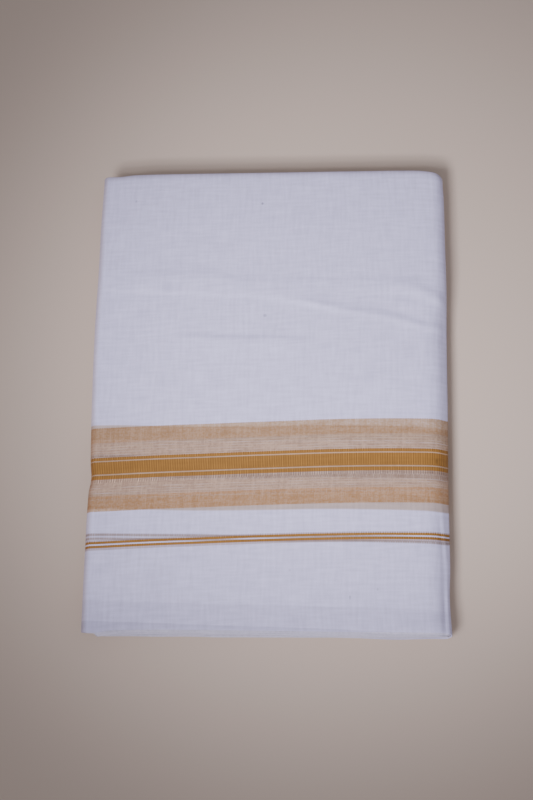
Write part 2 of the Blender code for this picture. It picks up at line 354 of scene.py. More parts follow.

# %% [markdown]
# ## Creases and dents
# Pressed cotton keeps low, soft marks: a fold line that was pressed and opened again, a place where
# a thumb pushed. Noise would put the same mark everywhere. Here each one is listed with its
# own path, height and width, and the width may differ on its two sides, so that it can be a ridge, a
# trough or a soft step. The deepest one lowers the whole right-hand side by half a centimetre, where
# the cloth goes over into its widest turn. Marks fade from leaf to leaf downwards, as in a real pile.

# %% Creases
CREASES = (
    # path as (x, y) points, height, width on the near side, width on the far side, fade at the ends
    (((-0.112, 0.0712), (-0.086, 0.0712), (-0.077, 0.0708), (-0.0496, 0.0697), (-0.0222, 0.069),
      (-0.0016, 0.0677), (0.019, 0.064), (0.04, 0.0601)), 0.0006, 0.0026, 0.014, 0.02),
    (((0.02, 0.0638), (0.0395, 0.0601), (0.06, 0.0561), (0.0736, 0.0541), (0.0872, 0.0511),
      (0.1008, 0.0475), (0.109, 0.0464), (0.118, 0.0458)), 0.0005, 0.0024, 0.0026, 0.024),
    (((0.064, 0.0616), (0.0736, 0.0602), (0.0872, 0.0566), (0.1008, 0.0524), (0.109, 0.0511)),
     -0.00034, 0.0022, 0.006, 0.024),
    (((-0.062, 0.036), (-0.049, 0.0366), (-0.0215, 0.036), (-0.001, 0.0364), (0.019, 0.0363)),
     0.00068, 0.009, 0.0018, 0.04),
    (((0.082, 0.0758), (0.095, 0.0744), (0.1012, 0.0724), (0.1093, 0.069), (0.118, 0.0655)),
     0.00084, 0.0046, 0.0046, 0.016),
    (((-0.096, 0.0798), (-0.07, 0.0816), (-0.039, 0.0814), (-0.028, 0.08)),
     0.00038, 0.007, 0.0018, 0.012),
    (((-0.029, 0.0775), (0.008, 0.078), (0.039, 0.079), (0.074, 0.0796), (0.108, 0.0798)),
     0.00026, 0.005, 0.0016, 0.016),
    (((0.042, 0.0721), (0.075, 0.0728), (0.106, 0.0724)),
     0.00022, 0.002, 0.006, 0.012),
    (((0.042, 0.0083), (0.062, 0.0092), (0.083, 0.0089)),
     0.00026, 0.007, 0.0026, 0.012),
    (((-0.1, 0.118), (-0.055, 0.1215), (0.01, 0.1195), (0.06, 0.123)),
     0.00018, 0.009, 0.004, 0.03),
    (((-0.07, -0.121), (-0.01, -0.119), (0.06, -0.1215)),
     0.00016, 0.004, 0.008, 0.03),
)
SIDE_CREASES = (
    # the same, for creases that run from front to back: path as (y, x) points
    (((-0.008, -0.0747), (0.018, -0.0752), (0.044, -0.0758)), 0.00024, 0.004, 0.0018, 0.012),
    (((-0.12, -0.0605), (-0.06, -0.059), (0.02, -0.061)), 0.00009, 0.007, 0.003, 0.03),
    (((0.02, 0.059), (0.08, 0.0605), (0.14, 0.06)), 0.00009, 0.003, 0.008, 0.03),
    (((-0.16, 0.1192), (-0.128, 0.119), (-0.105, 0.119), (-0.085, 0.119), (-0.04, 0.12),
      (0.0, 0.1204), (0.03, 0.1206), (0.06, 0.1208)), -0.0046, 0.0083, 0.03, 0.05),
    (((-0.09, 0.1226), (-0.04, 0.123), (0.03, 0.1232), (0.075, 0.1232)),
     -0.0017, 0.0042, 0.03, 0.05),
    (((0.04, 0.1186), (0.09, 0.1184), (0.165, 0.1178)), -0.0011, 0.0052, 0.03, 0.05),
    (((-0.158, 0.1143), (-0.13, 0.1142), (-0.106, 0.114), (-0.086, 0.1122), (-0.078, 0.1118)),
     -0.0005, 0.0016, 0.0012, 0.016),
    (((-0.166, 0.1147), (-0.15, 0.1145), (-0.134, 0.1142)), -0.00045, 0.002, 0.0012, 0.014),
    (((-0.162, 0.1168), (-0.146, 0.1164), (-0.127, 0.1158), (-0.108, 0.1155), (-0.088, 0.1137),
      (-0.078, 0.1133)), 0.0006, 0.0011, 0.0012, 0.02),
)
SWELLS = (
    # middle of a broad swell or hollow, its reach across and along, its height
    (-0.06, 0.105, 0.05, 0.04, 0.00022), (0.045, 0.02, 0.06, 0.045, 0.00018),
    (-0.055, -0.02, 0.045, 0.06, 0.00016), (0.07, -0.11, 0.045, 0.04, 0.0002),
    (-0.04, -0.125, 0.06, 0.03, 0.00012), (0.07, 0.11, 0.045, 0.045, -0.0001),
    (0.0, -0.07, 0.07, 0.03, -0.0001),
)


def crease_height(place, across, path, height, near_width, far_width, fade):
    """Height of one crease at a place along it and a place across it."""
    away = across - read(path, place)
    width = near_width if away < 0.0 else far_width
    ends = smooth((place - path[0][0] + fade / 2) / fade) * smooth((path[-1][0] + fade / 2 - place) / fade)
    return height * ends * math.exp(-(away / width) ** 2)


def marks(x, y):
    """Every crease and swell of the face, added up."""
    total = sum(crease_height(x, y, *crease) for crease in CREASES)
    total += sum(crease_height(y, x, *crease) for crease in SIDE_CREASES)
    for middle_x, middle_y, reach_x, reach_y, height in SWELLS:
        total += height * math.exp(-((x - middle_x) / reach_x) ** 2 - ((y - middle_y) / reach_y) ** 2)
    return total


print("creases placed by hand:", len(CREASES) + len(SIDE_CREASES), "and", len(SWELLS), "swells")

# %% [markdown]
# ## The pillow of the pack
# A pressed pack is thickest in the middle and droops towards its folds, because the air goes out
# there first. The crown is a flat-topped bump, and the droop is a quarter round along the front and
# the back. The underside rests on the table, so it has only faint dents, pushed up into the pile.

# %% Crown, droop and dents
CROWN = 0.0008
NEAR_DROOP = 0.0005
FAR_DROOP = 0.0012
DROOP_REACH = 0.006
HALF_WIDTH = 0.119
HALF_DEPTH = 0.159
UNDER_DENTS = (
    (((-0.09, -0.052), (-0.03, -0.048), (0.04, -0.055)), 0.00016, 0.004, 0.006, 0.03),
    (((-0.02, 0.061), (0.05, 0.066), (0.1, 0.062)), 0.00014, 0.006, 0.003, 0.03),
    (((-0.095, 0.118), (-0.04, 0.112), (0.02, 0.116)), 0.00012, 0.005, 0.005, 0.03),
    (((0.01, -0.118), (0.06, -0.112), (0.1, -0.116)), 0.00015, 0.003, 0.007, 0.03),
)


def crown(x, y):
    across = max(0.0, 1.0 - (x / HALF_WIDTH) ** 4)
    along = max(0.0, 1.0 - (y / HALF_DEPTH) ** 4)
    return CROWN * across * along


def droop(from_fold, depth):
    """How far the cloth has sunk at a distance from its front or back fold."""
    share = min(from_fold / DROOP_REACH, 1.0)
    return depth * (1.0 - math.sqrt(1.0 - (1.0 - share) ** 2))


def lift(x, y, z, from_fold, fold_droop):
    """Moves a point of any leaf up or down: the upper leaves follow the face, the lower the table."""
    middle = LEAVES // 2
    upper = max(0.0, (z - level_height(middle)) / (level_height(0) - level_height(middle)))
    lower = max(0.0, (level_height(middle - 1) - z) / (level_height(middle - 1) - level_height(LEAVES - 1)))
    dents = sum(crease_height(x, y, *dent) for dent in UNDER_DENTS) if lower else 0.0
    return upper * (crown(x, y) + marks(x, y) - droop(from_fold, fold_droop)) + lower * dents


top = level_height(0)
print("height of the face's middle in mm:", round(1000 * (top + lift(0, 0, top, 1, 0)), 2))

# %% [markdown]
# ## Where the border runs
# The stripes follow one weft-wise gold line, which bows a few millimetres across the face. The
# distance from that line is kept as a UV coordinate, so the pattern is tied to the cloth and turns
# over each fold with it. Four more guides do the same for the ply just below, which shows faintly
# through the thin cotton: its fine gold lines, its border, its hem and the fold where it ends.

# %% Cloth coordinates
GOLD_LINE = (
    (-0.119, -0.10407), (-0.1085, -0.10347), (-0.0763, -0.10143), (-0.0442, -0.09973), (-0.0055, -0.09765),
    (0.0331, -0.09602), (0.0718, -0.09487), (0.1041, -0.09452), (0.112, -0.0946), (0.119, -0.0952),
)
INNER_GOLD_LINE = (
    (-0.119, -0.0985), (-0.108, -0.0982), (-0.076, -0.0981), (-0.044, -0.0978), (-0.012, -0.0979),
    (0.047, -0.0969), (0.095, -0.0971), (0.119, -0.0977),
)
INNER_BORDER_LINE = (
    (-0.119, -0.1021), (-0.1, -0.1017), (-0.05, -0.102), (0.0, -0.1008), (0.032, -0.0997),
    (0.06, -0.0994), (0.1, -0.0997), (0.119, -0.1006),
)
INNER_HEM = (
    (-0.119, -0.1407), (-0.066, -0.141), (-0.028, -0.1416), (0.01, -0.1417), (0.049, -0.1423),
    (0.08, -0.1425), (0.119, -0.1436),
)
INNER_FOLD = (
    (-0.119, -0.1534), (-0.065, -0.1542), (-0.027, -0.1551), (0.011, -0.1555), (0.049, -0.1564),
    (0.08, -0.1572), (0.119, -0.1581),
)
HIDDEN_SHIFT = 0.0013
SHIFT_RATE = 2.0
BORDER_STRETCH = ((-0.119, 1.004), (0.0, 1.003), (0.04, 0.996), (0.119, 0.991))


def level_shift(level):
    """How far a leaf's border lies from the face's: nothing on the face, a little further down."""
    return HIDDEN_SHIFT * math.sin(SHIFT_RATE * level)


def across_cloth(x, y, shift):
    """Distance of a point from the gold line, then from each of the four guides of the inner ply."""
    guides = (INNER_GOLD_LINE, INNER_BORDER_LINE, INNER_HEM, INNER_FOLD)
    gold = (y + shift - read(GOLD_LINE, x)) * read(BORDER_STRETCH, x)
    return gold, *(y + shift - read(guide, x) for guide in guides)


print("gold line bows by mm:", round(1000 * (read(GOLD_LINE, 0.1) - read(GOLD_LINE, -0.1)), 1))

# %% [markdown]
# ## One strip of cloth through the pack
# Each piece is a stretch of the same strip. A flat grid is made first, one column for each step
# along the cloth and one row for each step across it. Its points are then carried to where the
# fold puts them. Rows are closest at the folds, where the leaf's edge is round, and where creases
# lie. Columns are closest towards the turns on the hidden leaves, because only their ends show.

# %% Steps along and across
RIM_ROWS = (0.0, 0.00006, 0.00016, 0.0003, 0.00047)
DEPTH = 0.317


def columns_of_leaf(leaf, start, end, steps, crowding=0.0):
    """Columns on one flat leaf, as (leaf, next leaf, share of the leaf, share of the turn)."""
    columns = []
    for i in range(steps + 1):
        even = i / steps
        crowded = (1.0 - math.cos(math.pi * even)) / 2
        columns.append((leaf, leaf, mix(start, end, mix(even, crowded, crowding)), None))
    return columns


def columns_of_turn(leaf, steps):
    """Columns round the turn after a leaf, without the two that the flat leaves have."""
    return [(leaf, leaf + 1, None, i / steps) for i in range(1, steps)]


def rows_across(plan):
    """Distances from the front fold: fine at both folds, and in steps of the plan between."""
    rows = list(RIM_ROWS)
    for end, step in plan:
        start = rows[-1]
        count = max(1, round((end - start) / step))
        rows += [mix(start, end, (i + 1) / count) for i in range(count)]
    return rows + [DEPTH - row for row in reversed(RIM_ROWS)]


FACE_ROWS = rows_across(
    ((0.003, 0.0008), (0.009, 0.002), (0.187, 0.0032), (0.243, 0.0012), (0.308, 0.0032), (0.314, 0.002),
     (0.316, 0.0008)))
PLAIN_ROWS = rows_across(
    ((0.003, 0.0012), (0.009, 0.003), (0.308, 0.0115), (0.314, 0.003), (0.316, 0.0012)))
print("rows on the face:", len(FACE_ROWS), "and on hidden leaves:", len(PLAIN_ROWS))

# %% [markdown]
# ## Where the fold carries a point
# A column says where a point is in a slice across the pack: on a flat leaf, or some way round a
# turn. A row says how far it is from the front fold. Between two leaves everything that differs
# from level to level, such as the offset of the folds, eases over from one to the other.

# %% The place of a point
def section_point(column, left, right):
    """x and height of a column in a slice across the packet, before the pile's own unevenness."""
    leaf, following, share, bend = column
    level = LEVEL[leaf]
    if bend is None:
        ends = (left_start(level, left), right_end(level, right))
        start, end = ends if leaf % 2 == 0 else ends[::-1]
        return mix(start, end, share), level_height(level)
    partner = LEVEL[following]
    radius = turn_radius(level, partner)
    middle = (level_height(level) + level_height(partner)) / 2
    angle = math.pi * (bend - 0.5)
    if level_height(level) > level_height(partner):
        angle = -angle
    height = middle + radius * math.sin(angle)
    if leaf % 2 == 0:
        return right_end(level, right) + radius * math.cos(angle), height
    return left_start(level, left) - radius * math.cos(angle), height


def side_x(side, depth_share):
    """A side's x at a share of the packet's depth."""
    return read(side, mix(read(FRONT_END, 0.0), read(BACK_END, 0.0), depth_share))


def folded_point(column, row):
    """The point of the cloth for one column and row, and how far its border is shifted."""
    share = row / DEPTH
    x, z = section_point(column, side_x(LEFT_SIDE, share), side_x(RIGHT_SIDE, share))
    leaf, following, _, bend = column
    turned = smooth(bend or 0.0)
    front = mix(front_fold(LEVEL[leaf], x), front_fold(LEVEL[following], x), turned)
    back = mix(back_fold(LEVEL[leaf], x), back_fold(LEVEL[following], x), turned)
    y = mix(front, back, share)
    shift = mix(level_shift(LEVEL[leaf]), level_shift(LEVEL[following]), turned)
    fold_droop = NEAR_DROOP if row < DEPTH / 2 else FAR_DROOP
    return (x, y, z + lift(x, y, z, min(row, DEPTH - row), fold_droop)), shift


print("top right corner in mm:", [round(1000 * v, 1) for v in folded_point((1, 1, 0.0, None), DEPTH)[0]])

# %% [markdown]
# ## From grid to cloth
# The grid operator makes the faces, and the loop only moves its points. Each point also keeps its
# cloth coordinates in UV maps, in metres. A Solidify modifier then gives the leaf its thickness. A
# vertex group thins the wall along the folds, in steps that follow a half circle, so that each leaf
# ends in a round edge instead of a cut one.

# %% Cloth from a grid
OPEN_END_THICKNESS = 0.45
THINNEST = 0.12


def edge_weight(row, column_index, columns, open_ends):
    """Share of the wall's thickness at a point: round at the folds, thinner at a cut end."""
    inward = min(row, DEPTH - row) / (LEAF_THICKNESS / 2)
    weight = 1.0 if inward >= 1.0 else max(THINNEST, math.sqrt(1.0 - (1.0 - inward) ** 2))
    at_end = (column_index == 0 and open_ends[0]) or (column_index == len(columns) - 1 and open_ends[1])
    return weight * (OPEN_END_THICKNESS if at_end else 1.0)


def along_cloth(columns):
    """Distance of each column along the cloth, measured in a slice through the middle."""
    left = side_x(LEFT_SIDE, 0.5)
    right = side_x(RIGHT_SIDE, 0.5)
    places = [section_point(column, left, right) for column in columns]
    total = [0.0]
    for before, after in zip(places, places[1:]):
        total.append(total[-1] + math.dist(before, after))
    return total


def folded_cloth(name, columns, rows, first_length, open_ends):
    """A piece of the cloth, carried from a flat grid to its folded place."""
    mesh = bmesh.new()
    bmesh.ops.create_grid(mesh, x_segments=len(columns) - 1, y_segments=len(rows) - 1, size=0.5)
    uv = [mesh.loops.layers.uv.new(title) for title in ("cloth", "inner_ply", "inner_edges", "rims")]
    group = mesh.verts.layers.deform.verify()
    lengths = along_cloth(columns)
    cloth_places = []
    for index, vertex in enumerate(mesh.verts):
        row_index, column_index = divmod(index, len(columns))
        row = rows[row_index]
        vertex.co, shift = folded_point(columns[column_index], row)
        gold, inner_gold, inner_border, hem, fold = across_cloth(vertex.co.x, vertex.co.y, shift)
        length = first_length + lengths[column_index]
        from_left = vertex.co.x - side_x(LEFT_SIDE, row / DEPTH)
        places = ((length, gold), (inner_gold, inner_border), (hem, fold), (from_left, DEPTH - row))
        cloth_places.append(places)
        vertex[group][0] = edge_weight(row, column_index, columns, open_ends)
    mesh.verts.index_update()
    for face in mesh.faces:
        face.smooth = True
        for loop in face.loops:
            for layer, place in zip(uv, cloth_places[loop.vert.index]):
                loop[layer].uv = place
    piece = object_from(name, mesh)
    piece.vertex_groups.new(name="round_folds")
    wall = piece.modifiers.new("leaf_thickness", "SOLIDIFY")
    wall.thickness = LEAF_THICKNESS
    wall.offset = 0.0
    wall.vertex_group = "round_folds"
    print(name, "is", round(lengths[-1], 3), "m of cloth in", len(piece.data.polygons), "faces")
    return piece, lengths[-1]


# %% [markdown]
# ## The three stretches
# The bordered leaf starts at the open end below, goes round the right-hand side and covers the
# face, then tucks under on the left. The second leaf is the other end of the cloth, just inside it.
# Everything between is one long stretch that turns back and forth eleven times.

# %% Bordered leaf, second leaf and hidden leaves
FACE_STEPS = 99
PLAIN_STEPS = 34
PLAIN_CROWDING = 0.8
OUTER_TURN_STEPS = 18
FEWEST_TURN_STEPS = 6
SEEN_TURN_EXTRA = 4
SECOND_TURN_EXTRA = 2
TAIL_STEPS = 3
END_GAP = 1.06
FIRST_HIDDEN = 2
LAST_HIDDEN = LEAVES - 3


def tail_share(leaf):
    """Share of a leaf that its short tucked tail takes."""
    level = LEVEL[leaf]
    span = right_end(level, read(RIGHT_SIDE, 0)) - left_start(level, read(LEFT_SIDE, 0))
    return TAIL_LENGTH / span


def turn_steps(leaf):
    """More steps round a wide turn than round a tight one."""
    size = turn_radius(LEVEL[leaf], LEVEL[leaf + 1]) / RIGHT_CENTRE_IN
    return max(FEWEST_TURN_STEPS, round(OUTER_TURN_STEPS * size))


def plain_leaf(leaf, start=0.0, end=1.0):
    """Columns of a leaf of which only the ends show."""
    return columns_of_leaf(leaf, start, end, PLAIN_STEPS, PLAIN_CROWDING)


face_tail = tail_share(FIRST_HIDDEN)
second_tail = tail_share(LAST_HIDDEN)
bordered_columns = (
    plain_leaf(0) + columns_of_turn(0, OUTER_TURN_STEPS)
    + columns_of_leaf(1, 0.0, 1.0, FACE_STEPS) + columns_of_turn(1, turn_steps(1) + SEEN_TURN_EXTRA)
    + columns_of_leaf(FIRST_HIDDEN, 0.0, face_tail, TAIL_STEPS))
bordered_leaf, bordered_length = folded_cloth(
    "bordered_leaf", bordered_columns, FACE_ROWS, 0.0, (True, False))

hidden_columns = []
for leaf in range(FIRST_HIDDEN, LAST_HIDDEN + 1):
    start = face_tail * END_GAP if leaf == FIRST_HIDDEN else 0.0
    end = 1.0 - second_tail * END_GAP if leaf == LAST_HIDDEN else 1.0
    hidden_columns += plain_leaf(leaf, start, end)
    if leaf < LAST_HIDDEN:
        hidden_columns += columns_of_turn(leaf, turn_steps(leaf))
hidden_leaves, hidden_length = folded_cloth(
    "hidden_leaves", hidden_columns, PLAIN_ROWS, bordered_length, (False, False))

second_columns = (
    columns_of_leaf(LAST_HIDDEN, 1.0 - second_tail, 1.0, TAIL_STEPS)
    + columns_of_turn(LAST_HIDDEN, turn_steps(LAST_HIDDEN) + SECOND_TURN_EXTRA)
    + plain_leaf(LEAVES - 2) + columns_of_turn(LEAVES - 2, OUTER_TURN_STEPS) + plain_leaf(LEAVES - 1))
open_end_leaf, second_length = folded_cloth(
    "open_end_leaf", second_columns, PLAIN_ROWS, bordered_length + hidden_length, (False, True))
print("whole cloth in m:", round(bordered_length + hidden_length + second_length, 3))

# %% [markdown]
# ## Nodes in a few words
# A finish is a tree of nodes. Added one by one they make a script long, so these helpers each add a
# node, link or set its inputs and hand back its output. Nodes can then be written inside each other
# like a sum. What belongs together goes into a node group with named inputs.

# %% Helpers for nodes
def new_group(name, inputs, outputs):
    """An empty node group with named sockets, and its two end nodes."""
    group = bpy.data.node_groups.new(name, "ShaderNodeTree")
    for title in inputs:
        group.interface.new_socket(name=title, in_out="INPUT", socket_type="NodeSocketFloat")
    for title, kind in outputs.items():
        group.interface.new_socket(name=title, in_out="OUTPUT", socket_type="NodeSocket" + kind)
    return group, group.nodes.new("NodeGroupInput"), group.nodes.new("NodeGroupOutput")


def connect(tree, value, socket):
    """Links a socket, or sets a plain number, vector or colour."""
    if isinstance(value, bpy.types.NodeSocket):
        tree.links.new(value, socket)
    else:
        socket.default_value = (*value, 1.0) if socket.type == "RGBA" else value


def set_inputs(tree, node, **values):
    """Links or sets a node's inputs by name, with an underscore for each space."""
    for title, value in values.items():
        connect(tree, value, node.inputs[title.replace("_", " ")])


def math_node(tree, operation, *values):
    """A Math node. Its inputs are sockets or plain numbers."""
    node = tree.nodes.new("ShaderNodeMath")
    node.operation = operation
    for socket, value in zip(node.inputs, values):
        connect(tree, value, socket)
    return node.outputs[0]


def vector_node(tree, operation, *values):
    """A Vector Math node. Its inputs are sockets or plain vectors, and a number counts for all three."""
    node = tree.nodes.new("ShaderNodeVectorMath")
    node.operation = operation
    for socket, value in zip(node.inputs, values):
        connect(tree, value, socket)
    return node.outputs["Value" if operation == "LENGTH" else "Vector"]


def mixed(tree, blend, factor, first, second):
    """A colour Mix node. Its inputs are sockets or plain values."""
    node = tree.nodes.new("ShaderNodeMix")
    node.data_type = "RGBA"
    node.blend_type = blend
    for title, value in (("Factor", factor), ("A", first), ("B", second)):
        connect(tree, value, next(s for s in node.inputs if s.name == title and s.enabled))
    return next(s for s in node.outputs if s.enabled)


def step_up(tree, value, start, end, low, high):
    """A number that eases from low to high while the value goes from start to end."""
    node = tree.nodes.new("ShaderNodeMapRange")
    node.interpolation_type = "SMOOTHSTEP"
    set_inputs(tree, node, Value=value, From_Min=start, From_Max=end, To_Min=low, To_Max=high)
    return node.outputs["Result"]


operations = bpy.types.ShaderNodeMath.bl_rna.properties["operation"].enum_items
print("operations that a Math node can do:", len(operations))

# %% [markdown]
# ## The woven border
# The border is woven in, not printed: tan cotton stripes, a band of mustard-gold thread with a thin
# gold line on each side, and two fine gold lines near the fold. A colour ramp could hold them, but
# Cycles samples a ramp at 256 places, too few for lines this fine. So one table holds every stripe,
# and each becomes a mask: 1 inside the stripe, 0 outside, with a hair's width between.

# %% Stripes and their colours
COLOURS = {
    # name: colour of the cotton, how much of the next ply shows through
    "white": ((0.74, 0.72, 0.88), 1.0),
    "upper_tan": ((0.492, 0.32, 0.169), 0.7),
    "lower_tan": ((0.524, 0.319, 0.151), 0.7),
    "deep_tan": ((0.429, 0.261, 0.12), 0.7),
    "hair": ((0.492, 0.373, 0.297), 0.85),
    "fringe": ((0.54, 0.465, 0.48), 0.85),
    "pale": ((0.65, 0.48, 0.295), 0.6),
    "gold": ((0.357, 0.178, 0.034), 0.25),
}
FLECK = (0.64, 0.52, 0.43)
HAIRLINE = (0.76, 0.7, 0.74)
STRIPES = {
    # name: where each of its stripes starts and ends, in metres beyond the lower gold line
    "upper_tan": ((0.0665, 0.0768),),
    "lower_tan": ((0.0206, 0.031),),
    "deep_tan": ((0.0281, 0.029),),
    "hair": ((0.031, 0.0418), (0.0567, 0.0665)),
    "fringe": ((-0.0048, -0.0033), (0.0009, 0.0018)),
    "pale": ((0.0446, 0.0453), (0.0538, 0.0544)),
    "gold": ((-0.00335, -0.00162), (-0.00075, 0.00099), (0.0418, 0.0446), (0.0453, 0.0538),
             (0.0544, 0.0567)),
}
THREAD_BLUR = 0.00012


def band_mask(tree, across, bands, blur):
    """1 inside any of the bands and 0 outside."""
    total = 0.0
    for start, end in bands:
        away = math_node(tree, "ABSOLUTE", math_node(tree, "SUBTRACT", across, (start + end) / 2))
        half = (end - start) / 2
        total = math_node(tree, "ADD", total, step_up(tree, away, half - blur, half + blur, 1.0, 0.0))
    return total


print("stripes in the border:", sum(len(bands) for bands in STRIPES.values()))

# %% [markdown]
# ## Fine lines between the stripes
# Between the tan and the gold the warp is mixed: tan threads with a white one every couple of
# millimetres. The white ones are a slow wave across the stripe, broken up by noise drawn out along
# the cloth, because a real hairline comes and goes as the yarn does. They are quieter just in front
# of the gold, where the gold's ribs run on as a short comb. Flecks of pale yarn soften the tan.

# %% Group: woven border
HAIR_PITCH = 0.00172
HAIR_CONTRAST = 0.82
HAIR_START = 0.1
WANDER = 3.0
# a noise is given as scale along the cloth, scale across it and detail, a step as start, end, low, high
WANDER_NOISE = (30.0, 500.0, 1.0)
BREAK_NOISE = (80.0, 900.0, 1.0)
BREAK = (0.42, 0.58, 0.25, 1.0)
QUIET_HAIR = (0.0374, 0.0418)
QUIET_SHARE = 0.8
PLY_BLUR = 0.0006
COMB_EDGE = (0.0396, 0.0418)
# how strongly the flecks show in each stripe, and how strongly the ribs do
HEATHERED = {"upper_tan": 0.85, "lower_tan": 0.84, "hair": 1.7}
RIBBED = {"gold": 1.0, "upper_tan": 0.11, "lower_tan": 0.11, "hair": 0.08, "fringe": 0.6, "comb": 1.4}


def stretched_noise(tree, along, across, along_scale, across_scale, detail):
    """Noise on cloth coordinates, drawn out in one direction. Scales are per metre."""
    place = tree.nodes.new("ShaderNodeCombineXYZ")
    set_inputs(tree, place, X=math_node(tree, "MULTIPLY", along, along_scale),
               Y=math_node(tree, "MULTIPLY", across, across_scale))
    noise = tree.nodes.new("ShaderNodeTexNoise")
    noise.noise_dimensions = "2D"
    set_inputs(tree, noise, Vector=place.outputs["Vector"], Scale=1.0, Detail=detail)
    return noise.outputs["Fac"]


def shares(tree, masks, table):
    """Adds up the masks named in a table, each by its own share."""
    total = 0.0
    for name, share in table.items():
        total = math_node(tree, "MULTIPLY_ADD", masks[name], share, total)
    return total


border, into, out = new_group(
    "woven_border", ("Along", "Across", "Heather"),
    {"Colour": "Color", "Shows Through": "Float", "Gold": "Float", "Ribbed": "Float"})
across = into.outputs["Across"]
masks = {name: band_mask(border, across, bands, THREAD_BLUR) for name, bands in STRIPES.items()}
colour = COLOURS["white"][0]
through = 1.0
for name, mask in masks.items():
    colour = mixed(border, "MIX", mask, colour, COLOURS[name][0])
    hidden = math_node(border, "MULTIPLY", mask, 1.0 - COLOURS[name][1])
    through = math_node(border, "SUBTRACT", through, hidden)
wander = stretched_noise(border, into.outputs["Along"], across, *WANDER_NOISE)
turns = math_node(border, "MULTIPLY_ADD", wander, WANDER,
                  math_node(border, "DIVIDE", across, HAIR_PITCH / math.tau))
strength = stretched_noise(border, into.outputs["Along"], across, *BREAK_NOISE)
line = step_up(border, math_node(border, "SINE", turns), HAIR_START, 1.0, 0.0, HAIR_CONTRAST)
line = math_node(border, "MULTIPLY", line, step_up(border, strength, *BREAK))
quiet = band_mask(border, across, (QUIET_HAIR,), PLY_BLUR)
loud = math_node(border, "MULTIPLY_ADD", quiet, -QUIET_SHARE, 1.0)
line = math_node(border, "MULTIPLY", math_node(border, "MULTIPLY", line, loud), masks["hair"])
colour = mixed(border, "MIX", line, colour, HAIRLINE)
flecked = math_node(border, "MULTIPLY", shares(border, masks, HEATHERED), into.outputs["Heather"])
colour = mixed(border, "MIX", flecked, colour, FLECK)
masks["comb"] = band_mask(border, across, (COMB_EDGE,), THREAD_BLUR)
set_inputs(border, out, Colour=colour, Shows_Through=through, Gold=masks["gold"],
           Ribbed=shares(border, masks, RIBBED))
print("woven_border group:", len(border.nodes), "nodes")

# %% [markdown]
# ## What shows through
# Each leaf is four plies, so the stripes of the ply below tint the white above them, blurred a
# little by the cotton between. Near the front the inner plies end, and their ends show through.
# Beyond each end the face is a touch darker, which is painted shade from the gap under the thin
# cloth. The same table of stripes serves again, with a wider blur. The fine gold lines and
# the rest of the border each follow a guide of their own, because the inner ply has slipped a little.

# %% Group: inner ply
# the fine gold lines lie before this place and the border beyond it
BORDER_START = 0.01
TINTS = {
    # what each stripe of the ply below does to the white cotton over it
    "upper_tan": (0.728, 0.606, 0.405), "lower_tan": (0.728, 0.606, 0.405), "hair": (0.803, 0.667, 0.475),
    "gold": (0.54, 0.45, 0.32), "pale": (0.54, 0.45, 0.32),
}
COMB = 0.35
# how dark the painted shade is beyond the inner ply's hem and beyond its fold
HEM_SHADE = 0.9
FOLD_SHADE = 0.84
HEM_BLUR = 0.0008
FOLD_BLUR = 0.0005

inner, into, out = new_group(
    "inner_ply", ("Lines Across", "Border Across", "From Hem", "From Fold", "Ribs"), {"Tint": "Color"})
tint = (1.0, 1.0, 1.0)
for name, tinted in TINTS.items():
    bands = [band for band in STRIPES[name] if band[0] > BORDER_START]
    mask = band_mask(inner, into.outputs["Border Across"], bands, PLY_BLUR)
    if name == "gold":
        lines = [band for band in STRIPES[name] if band[0] < BORDER_START]
        line = band_mask(inner, into.outputs["Lines Across"], lines, PLY_BLUR)
        comb = math_node(inner, "MULTIPLY_ADD", into.outputs["Ribs"], COMB, 1.0)
        mask = math_node(inner, "MULTIPLY", math_node(inner, "ADD", mask, line), comb)
    tint = mixed(inner, "MIX", mask, tint, tinted)
# painted shade beyond the ends of the inner ply
hem_shade = step_up(inner, into.outputs["From Hem"], -HEM_BLUR, HEM_BLUR, HEM_SHADE, 1.0)
fold_shade = step_up(inner, into.outputs["From Fold"], -FOLD_BLUR, FOLD_BLUR, FOLD_SHADE, 1.0)
tone = math_node(inner, "MULTIPLY", hem_shade, fold_shade)
set_inputs(inner, out, Tint=vector_node(inner, "MULTIPLY", tint, tone))
print("inner_ply group:", len(inner.nodes), "nodes")

# %% [markdown]
# ## Painted edge shade
# In the middle, sixteen leaves of white cotton lie under the face and send light back through it.
# At the very edge there are fewer, and the cloth rounds away from the light, so the last few
# millimetres look greyer and take some warmth bounced from the table. That grey and that warmth
# are painted shade and painted bounce light, mixed into the colour by one mask, from the distances
# to the left side and to the far fold.

# %% Group: painted edge shade
# the painted edge shade fades in over these distances from the left side and from the far fold
LEFT_RIM = (0.0012, 0.0046)
FAR_RIM = (0.0003, 0.0046)
FAR_SHARE = 0.6

edge_shade_group, into, out = new_group("painted_edge_shade", ("From Left", "From Far"), {"Edge": "Float"})
left_mask = step_up(edge_shade_group, into.outputs["From Left"], *LEFT_RIM, 0.0, 1.0)
far_mask = step_up(edge_shade_group, into.outputs["From Far"], *FAR_RIM, 1.0 - FAR_SHARE, 1.0)
inside = math_node(edge_shade_group, "MULTIPLY", left_mask, far_mask)
set_inputs(edge_shade_group, out, Edge=math_node(edge_shade_group, "SUBTRACT", 1.0, inside))
print("painted_edge_shade group:", len(edge_shade_group.nodes), "nodes")

# %% [markdown]
# ## The weave
# Plain weave is over one, under one, with about 28 yarns to the centimetre. Two sine waves
# multiplied make that checker of little hills. Real yarn is uneven, so noise drawn out along each
# direction adds thick and thin places: the long ones are cotton's fine streaks and the short ones
# its flecks. The gold band is ribbed, with its weft packed in cords a millimetre and a half apart.

